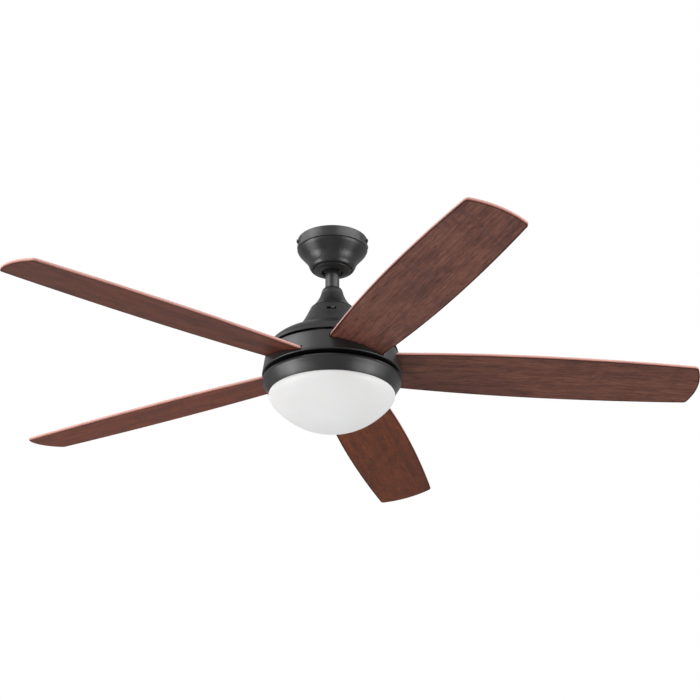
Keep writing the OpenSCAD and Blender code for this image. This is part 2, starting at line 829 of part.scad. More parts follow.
// From a wire nut over the ball, down the rod behind both pins, then down the shaft
function lead_route(rod_x, shaft_x, shaft_y, nut) = concat(
    [[nut[0], nut[1], -23], [nut[0], nut[1], -16.5]],
    smooth([[nut[0], nut[1], -14], [nut[0] * 0.9, nut[1] - 3, -10.6],
        [nut[0] * 0.6, 24, -9.6], [(nut[0] + rod_x) / 2, 14, -9.6],
        [rod_x, 8, -12.4], [rod_x, rod_lead_y, -18]], 3),
    [for (z = [-30 : -20 : -110]) [rod_x, rod_lead_y, z]],
    smooth([[rod_x, rod_lead_y, -118], [rod_x, rod_lead_y - 0.7, -122],
        [shaft_x, (rod_lead_y + shaft_y) / 2, -125.4], [shaft_x, shaft_y, -129],
        [shaft_x, shaft_y, -134]], 2),
    [for (z = [-150 : -30 : -270]) [shaft_x, shaft_y, z]],
    [[shaft_x, shaft_y, -290.3]]);

rod_lead_y = 6.6;
nut_spots = [[-13, 34], [0, 37], [13, 34]];

module lead_black() {
    color(resin) lead(lead_route(-2.6, -2.4, 0.4, nut_spots[0]), lead_r);
}

module lead_white() {
    color(opal) lead(lead_route(0, 0, 3, nut_spots[1]), lead_r);
}

module lead_blue() {
    color("royalblue") lead(lead_route(2.6, 2.4, 0.4, nut_spots[2]), lead_r);
}

module wire_nuts() {
    color("darkorange") for (s = nut_spots) translate([s[0], s[1], -32]) difference() {
        union() {
            cylinder(r1 = 3.2, r2 = 5.4, h = 12);
            translate([0, 0, 12]) cylinder(r = 5.4, h = 3);
        }
        translate([0, 0, 8]) cylinder(r = 4, h = 8, $fn = 32);
    }
}

// Two leads run from the plug to the back of each socket, one above the other
function socket_lead_route(side) = smooth([
    [1.7 * side - 4, -lamp_y, 13.9], [1.7 * side - 4.4, -lamp_y, 9],
    [1.7 * side - 8, -lamp_y, 3.6 - 1.4 * side], [-16, -lamp_y + 1, 2 - 1.7 * side],
    [-28, -lamp_y + 2, 1 - 1.7 * side], [-37, -lamp_y + 8, -1.7 * side],
    [-38.4, -lamp_y + 17, -1.7 * side], [-37.4, -4, -1.7 * side],
    [-34, -0.6, -1.7 * side], [-31, 0, -1.7 * side], [-26, 0, -1.7 * side]], 2);

module socket_leads() {
    color(resin) each_lamp() for (side = [-1, 1])
        lead(socket_lead_route(side), lead_r);
}

hanger_bracket();
canopy();
canopy_screws();
remote_receiver();
canopy_cover();
hanger_ball();
hanger_pin();
ball_set_screw();
downrod();
motor_yoke();
clevis_pin();
cotter_pin();
yoke_set_screws();
coupling_cover();
upper_housing();
housing_screws();
reverse_switch();
reverse_switch_knob();
motor_shaft();
stator_core();
stator_windings();
bearing_inner_races();
bearing_outer_races();
bearing_balls();
bearing_cages();
motor_upper_cover();
motor_lower_cover();
rotor_cage();
motor_screws();
housing_band();
band_screws();
blade(0);  // blade_1
blade(1);  // blade_2
blade(2);  // blade_3
blade(3);  // blade_4
blade(4);  // blade_5
blade_arm(0);  // blade_arm_1
blade_arm(1);  // blade_arm_2
blade_arm(2);  // blade_arm_3
blade_arm(3);  // blade_arm_4
blade_arm(4);  // blade_arm_5
arm_screws();
blade_screws();
light_adapter();
shaft_nut();
light_pan();
pan_screws();
bowl_retainers();
glass_bowl();
socket_bracket();
lamp_sockets();
bulb_bases();
bulb_globes();
light_plug();
socket_leads();
lead_black();
lead_white();
lead_blue();
wire_nuts();
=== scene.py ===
# Looks of a five-blade ceiling fan with a bowl light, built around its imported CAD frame.
import json
import math

import bmesh
import bpy
from mathutils import Matrix, Vector


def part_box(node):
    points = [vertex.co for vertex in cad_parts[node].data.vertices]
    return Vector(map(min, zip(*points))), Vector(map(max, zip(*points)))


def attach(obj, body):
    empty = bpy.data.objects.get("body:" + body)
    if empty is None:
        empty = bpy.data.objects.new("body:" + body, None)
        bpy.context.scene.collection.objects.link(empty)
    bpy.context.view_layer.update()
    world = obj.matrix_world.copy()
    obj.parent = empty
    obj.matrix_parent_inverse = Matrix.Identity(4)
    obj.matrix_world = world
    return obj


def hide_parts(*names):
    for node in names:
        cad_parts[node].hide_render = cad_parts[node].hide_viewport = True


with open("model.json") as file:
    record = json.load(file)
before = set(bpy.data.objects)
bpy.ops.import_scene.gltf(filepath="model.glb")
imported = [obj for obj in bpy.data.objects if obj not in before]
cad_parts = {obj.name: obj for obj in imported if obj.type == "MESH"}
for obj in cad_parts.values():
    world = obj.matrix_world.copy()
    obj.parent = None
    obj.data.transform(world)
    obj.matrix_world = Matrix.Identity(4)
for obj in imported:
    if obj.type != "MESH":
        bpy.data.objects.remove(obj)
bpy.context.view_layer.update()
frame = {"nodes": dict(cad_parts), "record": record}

MM = 0.001

# ---------------------------------------------------------------- curves and meshes


def smooth(points, n=6):
    """A smooth curve through the points, in n steps between each two."""
    out = []
    last = len(points) - 1
    for i in range(last):
        b, c = points[i], points[i + 1]
        a = points[i - 1] if i else (2 * b[0] - c[0], 2 * b[1] - c[1])
        d = points[i + 2] if i + 2 <= last else (2 * c[0] - b[0], 2 * c[1] - b[1])
        for k in range(n):
            t = k / n
            out.append(tuple(
                0.5 * (2 * b[j] + (c[j] - a[j]) * t
                       + (2 * a[j] - 5 * b[j] + 4 * c[j] - d[j]) * t * t
                       + (3 * b[j] - a[j] - 3 * c[j] + d[j]) * t ** 3)
                for j in (0, 1)))
    out.append(tuple(points[last]))
    return out


def rounded(points, n=4):
    """Rounds each corner given as (r, z, radius) of an open line."""
    out = []
    for i, p in enumerate(points):
        if len(p) < 3 or i in (0, len(points) - 1):
            out.append((p[0], p[1]))
            continue
        here = Vector(p[:2])
        before = Vector(points[i - 1][:2]) - here
        after = Vector(points[i + 1][:2]) - here
        cut = min(p[2], 0.49 * before.length, 0.49 * after.length)
        a = here + before.normalized() * cut
        b = here + after.normalized() * cut
        for k in range(n + 1):
            t = k / n
            q = a * (1 - t) ** 2 + here * 2 * t * (1 - t) + b * t * t
            out.append((q.x, q.y))
    return out


def thick(outer, wall, plain=None):
    """The closed section of a wall behind a profile that runs downwards.

    plain is the line the back of the wall follows, where outer has finer grooves.
    """
    plain = plain or outer
    inner = []
    for i, p in enumerate(plain):
        a, b = plain[max(i - 1, 0)], plain[min(i + 1, len(plain) - 1)]
        d = Vector((b[0] - a[0], b[1] - a[1])).normalized()
        inner.append((max(p[0] + d[1] * wall, 0.0), p[1] - d[0] * wall))
    return outer + inner[::-1]


def new_object(name, mesh):
    obj = bpy.data.objects.new(name, mesh)
    bpy.context.scene.collection.objects.link(obj)
    return obj


def lathe(name, section, closed=True, steps=224):
    """Turns a section, given in mm as (r, z), about the fan's axis."""
    bm = bmesh.new()
    rings = []
    for r, z in section:
        if r < 1e-6:
            rings.append([bm.verts.new((0, 0, z * MM))])
        else:
            rings.append([
                bm.verts.new((r * MM * math.cos(a), r * MM * math.sin(a), z * MM))
                for a in (2 * math.pi * k / steps for k in range(steps))])
    pairs = list(zip(rings, rings[1:]))
    if closed:
        pairs.append((rings[-1], rings[0]))
    for a, b in pairs:
        for k in range(steps):
            n = (k + 1) % steps
            if len(a) == 1 and len(b) == 1:
                break
            if len(a) == 1:
                bm.faces.new((a[0], b[k], b[n]))
            elif len(b) == 1:
                bm.faces.new((a[k], b[0], a[n]))
            else:
                bm.faces.new((a[k], b[k], b[n], a[n]))
    bmesh.ops.recalc_face_normals(bm, faces=bm.faces)
    mesh = bpy.data.meshes.new(name)
    bm.to_mesh(mesh)
    bm.free()
    return new_object(name, mesh)


def block(name, low, high, bevel=0.0, segments=3, matrix=None):
    """A box with round edges, from corner to corner in mm."""
    bm = bmesh.new()
    bmesh.ops.create_cube(bm, size=1)
    size = [(h - l) * MM for l, h in zip(low, high)]
    centre = [(h + l) / 2 * MM for l, h in zip(low, high)]
    bmesh.ops.transform(bm, verts=bm.verts, matrix=Matrix.Translation(centre)
                        @ Matrix.Diagonal((*size, 1)))
    if bevel:
        bmesh.ops.bevel(bm, geom=list(bm.edges), offset=bevel * MM, segments=segments,
                        profile=0.5, affect="EDGES")
    if matrix:
        bmesh.ops.transform(bm, verts=bm.verts, matrix=matrix)
    mesh = bpy.data.meshes.new(name)
    bm.to_mesh(mesh)
    bm.free()
    return new_object(name, mesh)


def cut(obj, cutters):
    """Takes the cutters out of obj, for good."""
    for c in cutters:
        m = obj.modifiers.new("cut", "BOOLEAN")
        m.operation = "DIFFERENCE"
        m.solver = "EXACT"
        m.object = c
    bpy.context.view_layer.update()
    made = bpy.data.meshes.new_from_object(
        obj.evaluated_get(bpy.context.evaluated_depsgraph_get()))
    made.name = obj.name
    obj.modifiers.clear()
    obj.data = made
    for c in cutters:
        bpy.data.objects.remove(c)


def shade(obj, angle=32):
    for polygon in obj.data.polygons:
        polygon.use_smooth = True
    obj.data.set_sharp_from_angle(angle=math.radians(angle))


def place(obj, body, material, slot, *nodes, angle=32):
    """Shades a piece, gives it its material, and puts it on its body in place of nodes."""
    shade(obj, angle)
    if material:
        obj.data.materials.clear()
        obj.data.materials.append(material)
    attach(obj, body)
    if nodes:
        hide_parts(*nodes)
    return obj


# ---------------------------------------------------------------- materials


class Nodes:
    """A short way to write a material's node tree."""

    def __init__(self, name):
        self.material = bpy.data.materials.new(name)
        self.material.use_nodes = True
        self.tree = self.material.node_tree
        self.shader = self.tree.nodes["Principled BSDF"]

    def add(self, kind, **values):
        node = self.tree.nodes.new(kind)
        for key, value in values.items():
            setattr(node, key, value)
        return node

    def link(self, a, b):
        self.tree.links.new(a, b)

    def coords(self, scale=(1, 1, 1), offset=(0, 0, 0), attribute=None):
        if attribute:
            where = self.add("ShaderNodeAttribute", attribute_name=attribute).outputs["Vector"]
        else:
            where = self.add("ShaderNodeTexCoord").outputs["Object"]
        mapping = self.add("ShaderNodeMapping")
        mapping.inputs["Scale"].default_value = scale
        mapping.inputs["Location"].default_value = offset
        self.link(where, mapping.inputs["Vector"])
        return mapping.outputs["Vector"]

    def noise(self, vector, scale, detail, rough, distortion=0.0):
        node = self.add("ShaderNodeTexNoise")
        node.inputs["Scale"].default_value = scale
        node.inputs["Detail"].default_value = detail
        node.inputs["Roughness"].default_value = rough
        node.inputs["Distortion"].default_value = distortion
        self.link(vector, node.inputs["Vector"])
        return node.outputs["Fac"]

    def ramp(self, value, stops):
        node = self.add("ShaderNodeValToRGB")
        node.color_ramp.elements.remove(node.color_ramp.elements[0])
        for i, (at, colour) in enumerate(stops):
            if i == 0:
                element = node.color_ramp.elements[0]
                element.position = at
            else:
                element = node.color_ramp.elements.new(at)
            element.color = (*colour, 1)
        self.link(value, node.inputs["Fac"])
        return node.outputs["Color"]

    def range(self, value, low, high, at):
        """Maps the span at, a pair, to low and high."""
        node = self.add("ShaderNodeMapRange")
        node.inputs["From Min"].default_value = at[0]
        node.inputs["From Max"].default_value = at[1]
        node.inputs["To Min"].default_value = low
        node.inputs["To Max"].default_value = high
        self.link(value, node.inputs["Value"])
        return node.outputs["Result"]

    def math(self, kind, a, b):
        node = self.add("ShaderNodeMath", operation=kind)
        for socket, value in zip(node.inputs, (a, b)):
            if isinstance(value, (int, float)):
                socket.default_value = value
            else:
                self.link(value, socket)
        return node.outputs["Value"]

    def weighted(self, *terms):
        """The sum of (value, weight) pairs."""
        total = 0.0
        for value, weight in terms:
            total = self.math("ADD", self.math("MULTIPLY", value, weight), total)
        return total

    def turned(self, vector, degrees, scale):
        """The vector turned about Z and then scaled."""
        turn = self.add("ShaderNodeMapping", vector_type="POINT")
        turn.inputs["Rotation"].default_value = (0, 0, math.radians(degrees))
        self.link(vector, turn.inputs["Vector"])
        grow = self.add("ShaderNodeMapping")
        grow.inputs["Scale"].default_value = scale
        self.link(turn.outputs["Vector"], grow.inputs["Vector"])
        return grow.outputs["Vector"]

    def mix(self, factor, a, b, kind="MIX"):
        node = self.add("ShaderNodeMix", data_type="RGBA", blend_type=kind)
        for socket, value in zip((node.inputs[0], node.inputs[6], node.inputs[7]),
                                 (factor, a, b)):
            if isinstance(value, (int, float)):
                socket.default_value = value
            elif isinstance(value, tuple):
                socket.default_value = (*value, 1)
            else:
                self.link(value, socket)
        return node.outputs[2]

    def bump(self, height, distance, strength):
        node = self.add("ShaderNodeBump")
        node.inputs["Strength"].default_value = strength
        node.inputs["Distance"].default_value = distance
        self.link(height, node.inputs["Height"])
        self.link(node.outputs["Normal"], self.shader.inputs["Normal"])

    def set(self, **values):
        for key, value in values.items():
            socket = self.shader.inputs[key.replace("_", " ")]
            if isinstance(value, bpy.types.NodeSocket):
                self.link(value, socket)
            else:
                socket.default_value = (*value, 1) if isinstance(value, tuple) else value


# The range that most of a noise texture's values lie in
MIDDLE = (0.3, 0.7)


def powder_coat(name, colour):
    """Matte baked paint: a faint orange peel, fine grain, and dust-like tone changes."""
    m = Nodes(name)
    at = m.coords()
    cloud = m.noise(at, 22, 4, 0.55)
    grain = m.noise(at, 2600, 2, 0.6)
    peel = m.noise(at, 620, 2, 0.45)
    light = tuple(c * 1.16 for c in colour)
    dark = tuple(c * 0.88 for c in colour)
    base = m.ramp(cloud, [(0.3, dark), (0.7, light)])
    speck = m.ramp(m.range(grain, 0.90, 1.12, MIDDLE), [(0.0, (0, 0, 0)), (1.0, (1, 1, 1))])
    m.set(Base_Color=m.mix(1.0, base, speck, "MULTIPLY"),
          Roughness=m.range(m.weighted((cloud, 0.5), (grain, 0.5)), 0.29, 0.38, MIDDLE),
          Specular_IOR_Level=0.5)
    m.bump(m.weighted((peel, 0.8), (grain, 0.25)), 0.08 * MM, 0.45)
    return m.material


def walnut(name, seed, stain):
    """Stained wood: fine dark pores and streaks along the grain, and a mottled cross figure."""
    m = Nodes(name)

    def stained(*colour):
        return tuple(c * s for c, s in zip(colour, stain))

    # Each seed takes its wood from another place in the noise
    shift = (seed * 3.7, seed * 1.9, seed * 0.8)

    def grain(scale, detail, rough, distortion=0.0):
        return m.noise(m.coords(scale, shift, "grain"), 1, detail, rough, distortion)

    band = grain((3.0, 60, 30), 4, 0.6, 0.3)
    streak = grain((16, 210, 110), 5, 0.7, 0.2)
    fibre = grain((60, 700, 400), 3, 0.65)
    across = m.turned(m.coords((1, 1, 1), shift, "grain"), 62, (13, 78, 13))
    figure = m.noise(across, 1, 3, 0.6, 1.4)
    blotch = grain((9, 22, 9), 4, 0.6, 1.2)
    patch = grain((6, 11, 6), 2, 0.5)
    pore = grain((40, 480, 280), 2, 0.6)
    value = m.weighted((band, 0.16), (streak, 0.36), (fibre, 0.20), (figure, 0.08),
                       (blotch, 0.20))
    base = m.ramp(value, [(0.40, stained(0.052, 0.019, 0.013)),
                          (0.47, stained(0.098, 0.037, 0.025)),
                          (0.53, stained(0.140, 0.055, 0.036)),
                          (0.61, stained(0.215, 0.091, 0.058))])
    curls = m.math("MULTIPLY", m.range(figure, 0.0, 0.6, (0.50, 0.64)),
                   m.range(patch, 0.15, 1.0, (0.44, 0.56)))
    base = m.mix(curls, base, stained(0.062, 0.028, 0.024))
    base = m.mix(m.range(blotch, 0.0, 0.35, (0.48, 0.66)), base, stained(0.140, 0.060, 0.034))
    pores = m.range(pore, 0.0, 1.0, (0.55, 0.66))
    base = m.mix(m.math("MULTIPLY", pores, 0.60), base, stained(0.034, 0.013, 0.010))
    m.set(Base_Color=base, Specular_IOR_Level=0.25,
          Roughness=m.range(m.weighted((streak, 0.6), (fibre, 0.4)), 0.42, 0.58, MIDDLE))
    m.bump(m.math("SUBTRACT", fibre, m.math("MULTIPLY", pores, 0.6)), 0.10 * MM, 0.5)
    return m.material


def banding(name, seed):
    """The thin pale strip glued round a blade's edge, darkened towards the underside by painted
    shade and paler towards the top by a painted highlight.
    """
    m = Nodes(name)
    streak = m.noise(m.coords((30, 30, 900), (seed, seed, 0), "grain"), 1, 4, 0.6)
    tone = m.noise(m.coords((9, 9, 9), (seed, 0, 0), "grain"), 1, 3, 0.5)
    split = m.add("ShaderNodeSeparateXYZ")
    m.link(m.coords((1, 1, 1), (0, 0, 0), "grain"), split.inputs["Vector"])
    # The edge's height paints shade low on it and a highlight high on it
    height = m.range(split.outputs["Z"], 0.0, 1.0, (-2.8 * MM, 2.8 * MM))
    value = m.weighted((streak, 0.20), (tone, 0.20), (height, 0.60))
    m.set(Base_Color=m.ramp(value, [(0.24, (0.16, 0.045, 0.034)), (0.40, (0.42, 0.165, 0.125)),
                                    (0.54, (0.60, 0.31, 0.26)), (0.76, (0.70, 0.46, 0.42))]),
          Roughness=m.range(streak, 0.38, 0.52, MIDDLE), Specular_IOR_Level=0.45)
    m.bump(streak, 0.08 * MM, 0.4)
    return m.material


def opal(name):
    """White cased glass: faint flow in its tone, a satin outside, and a painted glow standing in
    for light scattered inside it.
    """
    m = Nodes(name)
    at = m.coords()
    flow = m.noise(m.coords((1, 1, 2.2)), 16, 3, 0.5, 0.6)
    frost = m.noise(at, 1500, 2, 0.5)
    # The emission is a painted glow, though no lamp lights the bowl; it evens out the glass's
    # shading
    m.set(Base_Color=m.ramp(flow, [(0.3, (0.455, 0.455, 0.453)), (0.7, (0.475, 0.475, 0.473))]),
          Roughness=m.range(m.weighted((flow, 0.5), (frost, 0.5)), 0.30, 0.40, MIDDLE),
          IOR=1.5, Specular_IOR_Level=0.4, Subsurface_Weight=0.25, Subsurface_Scale=4 * MM,
          Emission_Color=(1.0, 1.0, 0.995), Emission_Strength=0.34)
    m.bump(m.noise(at, 90, 2, 0.4), 0.10 * MM, 0.25)
    return m.material


def metal(name, dark, light, rough=(0.28, 0.42), stretch=(1, 1, 1), scale=70.0, metallic=1.0,
          relief=0.06):
    """Bare metal with brushed or cast tone changes and a fine surface grain."""
    m = Nodes(name)
    at = m.coords(stretch)
    tone = m.noise(at, scale, 5, 0.6)
    fine = m.noise(at, scale * 18, 3, 0.6)
    value = m.weighted((tone, 0.6), (fine, 0.4))
    m.set(Base_Color=m.ramp(value, [(0.35, dark), (0.65, light)]), Metallic=metallic,
          Roughness=m.range(value, *rough, MIDDLE))
    m.bump(fine, relief * MM, 0.5)
    return m.material


def galvanised(name):
    """Zinc-plated sheet with its patchwork of crystals."""
    m = Nodes(name)
    at = m.coords()
    cells = m.add("ShaderNodeTexVoronoi")
    cells.inputs["Scale"].default_value = 190
    m.link(at, cells.inputs["Vector"])
    split = m.add("ShaderNodeSeparateColor")
    m.link(cells.outputs["Color"], split.inputs["Color"])
    fine = m.noise(at, 1200, 3, 0.6)
    value = m.weighted((split.outputs["Red"], 0.55), (fine, 0.45))
    m.set(Base_Color=m.ramp(value, [(0.2, (0.42, 0.43, 0.44)), (0.8, (0.62, 0.63, 0.64))]),
          Metallic=1.0, Roughness=m.range(value, 0.30, 0.48, (0.2, 0.8)))
    m.bump(fine, 0.05 * MM, 0.5)
    return m.material


def plastic(name, dark, light, rough=(0.38, 0.5), grain=900.0):
    """Moulded plastic or glazed ceramic with a fine texture and faint tone changes."""
    m = Nodes(name)
    at = m.coords()
    tone = m.noise(at, 45, 3, 0.5)
    fine = m.noise(at, grain, 2, 0.5)
    m.set(Base_Color=m.ramp(tone, [(0.3, dark), (0.7, light)]),
          Roughness=m.range(fine, *rough, MIDDLE))
    m.bump(fine, 0.08 * MM, 0.4)
    return m.material


CHARCOAL = powder_coat("charcoal_paint", (0.0178, 0.0178, 0.0181))
# Near black for the floor under the band: a painted shadow that darkens the gap above the light
# pan
SHADOW = powder_coat("painted_shade_black", (0.0040, 0.0040, 0.0041))
OPAL = opal("opal_glass")
KNOB = plastic("knob_plastic", (0.060, 0.060, 0.062), (0.085, 0.085, 0.088))
SLOT_MATERIALS = {
    "charcoal_metal": CHARCOAL,
    "walnut_blade": metal("walnut_plain", (0.08, 0.03, 0.025), (0.16, 0.07, 0.055),
                          (0.4, 0.5), metallic=0.0),
    "opal_glass": OPAL,
    "zinc_steel": galvanised("zinc_plated"),
    "cast_alloy": metal("cast_alloy", (0.40, 0.41, 0.42), (0.58, 0.59, 0.60), (0.38, 0.55)),
    "dark_steel": metal("lamination_steel", (0.10, 0.10, 0.11), (0.20, 0.20, 0.21),
                        (0.35, 0.5), (1, 1, 14)),
    "painted_arm": powder_coat("arm_paint", (0.030, 0.031, 0.033)),
    "copper_winding": metal("enamelled_copper", (0.42, 0.15, 0.06), (0.66, 0.28, 0.12),
                            (0.22, 0.36), (1, 1, 9), 60, relief=0.2),
    "cage_brass": metal("cage_brass", (0.52, 0.36, 0.14), (0.68, 0.50, 0.22)),
    "black_resin": plastic("black_resin", (0.018, 0.018, 0.019), (0.030, 0.030, 0.032)),
    "grey_knob": KNOB,
    "white_ceramic": plastic("white_ceramic", (0.78, 0.77, 0.74), (0.84, 0.83, 0.81),
                             (0.18, 0.3), 500),
    "blue_insulation": plastic("blue_insulation", (0.03, 0.09, 0.38), (0.05, 0.13, 0.48)),
    "orange_nuts": plastic("orange_nuts", (0.62, 0.19, 0.02), (0.76, 0.26, 0.04)),
}

slot_of = {s["node"]: s["material_slot"] for s in frame["record"]["subparts"]}
for name, node in frame["nodes"].items():
    node.data.materials.clear()
    node.data.materials.append(SLOT_MATERIALS[slot_of[name]])
    shade(node, 30)

# ---------------------------------------------------------------- canopy and its cover

SHEET = 1.2
SCREW_Y, SCREW_Z, HOLE_R, WALL_R = 13.0, -7.0, 2.4, 60.0

canopy_rim = rounded([(63.0, -0.6), (63.9, -1.5, 0.6), (64.0, -20.7, 0.5), (62.3, -21.2, 0.2),
                      (62.3, -21.8, 0.2), (63.1, -22.3)])
plain_rim = [(62.9, -0.6), (62.9, -21.0)]
canopy_bell = smooth([(62.8, -22.9), (61.2, -25.6), (57.6, -30), (53.3, -35), (49.1, -40),
                      (45.8, -45), (43.4, -50), (41.5, -55), (39.3, -58.7), (38.3, -59.7)],
                     7) + rounded([(38.0, -59.95), (37.2, -60.4, 0.5), (36.0, -60.4)])
canopy = lathe("canopy_shell", thick(canopy_rim + canopy_bell, SHEET, plain_rim + canopy_bell))


def screw_hole(side, y):
    """A plug that cuts a round hole through the canopy's wall."""
    hole = lathe("c", [(HOLE_R, -8), (HOLE_R, 8)], False, 32)
    bm = bmesh.new()
    bm.from_mesh(hole.data)
    bmesh.ops.holes_fill(bm, edges=[e for e in bm.edges if e.is_boundary])
    bmesh.ops.transform(bm, verts=bm.verts, matrix=Matrix.Translation(
        (side * WALL_R * MM, y * MM, SCREW_Z * MM)) @ Matrix.Rotation(math.pi / 2, 4, "Y"))
    bmesh.ops.recalc_face_normals(bm, faces=bm.faces)
    bm.to_mesh(hole.data)
    bm.free()
    return hole


cutters = []
for side in (1, -1):
    for y in (-SCREW_Y, SCREW_Y):
        # One hole of each pair is a slot that is open at the top
        if y * side > 0:
            cutters.append(block("c", (55, y - HOLE_R, SCREW_Z), (66, y + HOLE_R, 3),
                                 matrix=Matrix.Diagonal((side, 1, 1, 1))))
        cutters.append(screw_hole(side, y))
cut(canopy, cutters)
place(canopy, "ceiling_mount", CHARCOAL, "charcoal_metal", "canopy")


HEAD_R, HEAD_H, SHANK_R, SCREW_LENGTH, GROOVE = 3.8, 1.8, 2.0, 7.0, 0.45


def screw_head(matrix):
    """A domed screw with a cross recess. Its head stands on z = 0 and the shank goes down."""
    dome = [(0.0, HEAD_H)]
    for degrees in range(12, 91, 13):
        a = math.radians(degrees)
        dome.append((HEAD_R * math.sin(a), HEAD_H * (0.35 + 0.65 * math.cos(a))))
    under = [(HEAD_R, HEAD_H * 0.2), (HEAD_R * 0.97, 0.0), (SHANK_R, 0.0),
             (SHANK_R, -SCREW_LENGTH + 0.6), (SHANK_R * 0.7, -SCREW_LENGTH),
             (0.0, -SCREW_LENGTH)]
    obj = lathe("h", dome + under, False, 48)
    arm, low, high = HEAD_R * 0.55, HEAD_H * 0.45, HEAD_H + 1
    cut(obj, [block("c", (-arm, -GROOVE, low), (arm, GROOVE, high), 0.1, 1),
              block("c", (-GROOVE, -arm, low), (GROOVE, arm, high), 0.1, 1)])
    obj.data.transform(matrix)
    return obj


joined = bmesh.new()
for side in (0, math.pi):
    for y in (-SCREW_Y, SCREW_Y):
        spot = Matrix.Rotation(side, 4, "Z") @ Matrix.Translation(
            (63.5 * MM, y * MM, SCREW_Z * MM)) @ Matrix.Rotation(math.pi / 2, 4, "Y")
        head = screw_head(spot)
        joined.from_mesh(head.data)
        bpy.data.objects.remove(head)
mesh = bpy.data.meshes.new("canopy_screw_heads")
joined.to_mesh(mesh)
joined.free()
place(new_object("canopy_screw_heads", mesh), "ceiling_mount", CHARCOAL, "charcoal_metal",
      "canopy_screws")

cover_line = rounded([(33.5, -57.8), (34.0, -59.5, 0.5), (34.0, -62.2, 0.9),
                      (32.4, -63.2)]) + smooth(
    [(31.8, -63.5), (26, -65.1), (21.2, -65.9)], 6) + rounded(
    [(20.6, -66.0), (20.0, -65.9, 0.3), (20.0, -65.3)])
place(lathe("canopy_cover_plate", thick(cover_line, SHEET)), "canopy_cover", CHARCOAL,
      "charcoal_metal", "canopy_cover")

# ---------------------------------------------------------------- rod, covers and housing

ROD_R = 12.7
rod = [(ROD_R - 2.3, -20.3), (ROD_R - 2.0, -20), (ROD_R - 0.4, -20), (ROD_R, -20.4),
       (ROD_R, -126.6), (ROD_R - 0.4, -127), (ROD_R - 2.0, -127), (ROD_R - 2.3, -126.7)]
place(lathe("downrod_tube", rod, steps=128), "hanging_assembly", CHARCOAL,
      "charcoal_metal", "downrod")

coupling_line = rounded([(13.05, -99.6), (13.1, -98.8, 0.4), (14.4, -98.75, 0.5),
                         (15.4, -99.1)]) + smooth(
    [(16.2, -99.5), (18, -102), (19.4, -106), (21.5, -113.5), (25.8, -123), (32, -132.6),
     (38.9, -139.9)], 8) + [(39.4, -140.4), (39.5, -140.9)]
# The first points turn in round the rod, where the wall has no inside
COLLAR = 5
section = coupling_line[:COLLAR] + thick(coupling_line[COLLAR:], SHEET)
place(lathe("coupling_cone", section), "coupling_cover", CHARCOAL,
      "charcoal_metal", "coupling_cover")

housing_line = rounded([(36, -141.95), (39.4, -141.85, 0.5), (40.2, -142.5)]) + smooth(
    [(40.5, -143.1), (43.2, -148.6), (47.3, -157.4), (52.4, -166.8), (58.3, -176.4),
     (62.5, -183.9)], 8) + [(63.0, -184.7), (63.8, -185.2)] + smooth(
    [(64.4, -185.5), (71.5, -189.4), (83.4, -195.4), (96.5, -202.2), (107.8, -210.4),
     (115, -219), (118.1, -227.4)], 8) + rounded([(118.3, -227.8), (118.2, -228.4, 0.3),
                                                  (117.4, -228.4)])
housing = lathe("upper_housing_shell", thick(housing_line, SHEET))
# The window of the reverse switch
cut(housing, [block("c", (-8.5, -60, -160.9), (8.5, -30, -154.7), 1.2)])
place(housing, "hanging_assembly", CHARCOAL, "charcoal_metal", "upper_housing")

band_line = rounded([(116.9, -232.3), (117.9, -232.3, 0.5), (118.35, -233.5)]) + smooth(
    [(118.5, -234), (119.6, -240), (121.4, -252), (123.0, -263), (123.4, -266.4)], 6) + rounded(
    [(123.5, -267.0), (124.0, -268.2, 0.5), (124.0, -270.2, 0.7), (123.2, -271.4, 0.6),
     (121.6, -271.4, 0.5), (121.0, -270.0)], 5)
band = lathe("motor_band", thick(band_line, SHEET), steps=288)

BLADES = 5
BLADE_AZIMUTH, BLADE_DROOP, BLADE_PITCH, BLADE_Z, BLADE_T = 5.8, 0.96, 11.8, -252.5, 5.5


def blade_matrix(i):
    """From a flat blade along X to blade i's place on the fan."""
    return (Matrix.Rotation(math.radians(BLADE_AZIMUTH + i * 360 / BLADES), 4, "Z")
            @ Matrix.Translation((0, 0, BLADE_Z * MM))
            @ Matrix.Rotation(math.radians(BLADE_DROOP), 4, "Y")
            @ Matrix.Rotation(math.radians(-BLADE_PITCH), 4, "X"))


# Each blade's slot is a little larger than the blade
cut(band, [block("c", (104, -50.8, -BLADE_T / 2 - 1.6), (132, 52.4, BLADE_T / 2 + 1.2), 1.0, 2,
                 matrix=blade_matrix(i)) for i in range(BLADES)])
place(band, "rotor", CHARCOAL, "charcoal_metal", "housing_band")

# The band's floor is painted near black, a painted shadow in the gap between the band and the
# light pan
web = [(36.0, -270.0), (36.3, -269.7), (121.6, -269.7), (122.4, -270.1), (122.4, -270.8),
       (121.6, -271.2), (36.3, -271.2), (36.0, -270.9)]
place(lathe("motor_band_floor", web, steps=192), "rotor", SHADOW, "charcoal_metal")

pan_line = rounded([(15.0, -279.55), (122.6, -279.5, 0.8), (123.2, -281.4, 0.5),
                    (122.8, -284.6)], 5) + smooth(
    [(122.4, -285.4), (118.4, -292), (114.4, -300), (112.4, -304.9)], 7) + rounded(
    [(112.1, -305.9), (112.0, -306.5, 0.3), (111.2, -306.5)])
place(lathe("light_pan_shell", thick(pan_line, SHEET)), "hanging_assembly", CHARCOAL,
      "charcoal_metal", "light_pan")

# ---------------------------------------------------------------- glass bowl

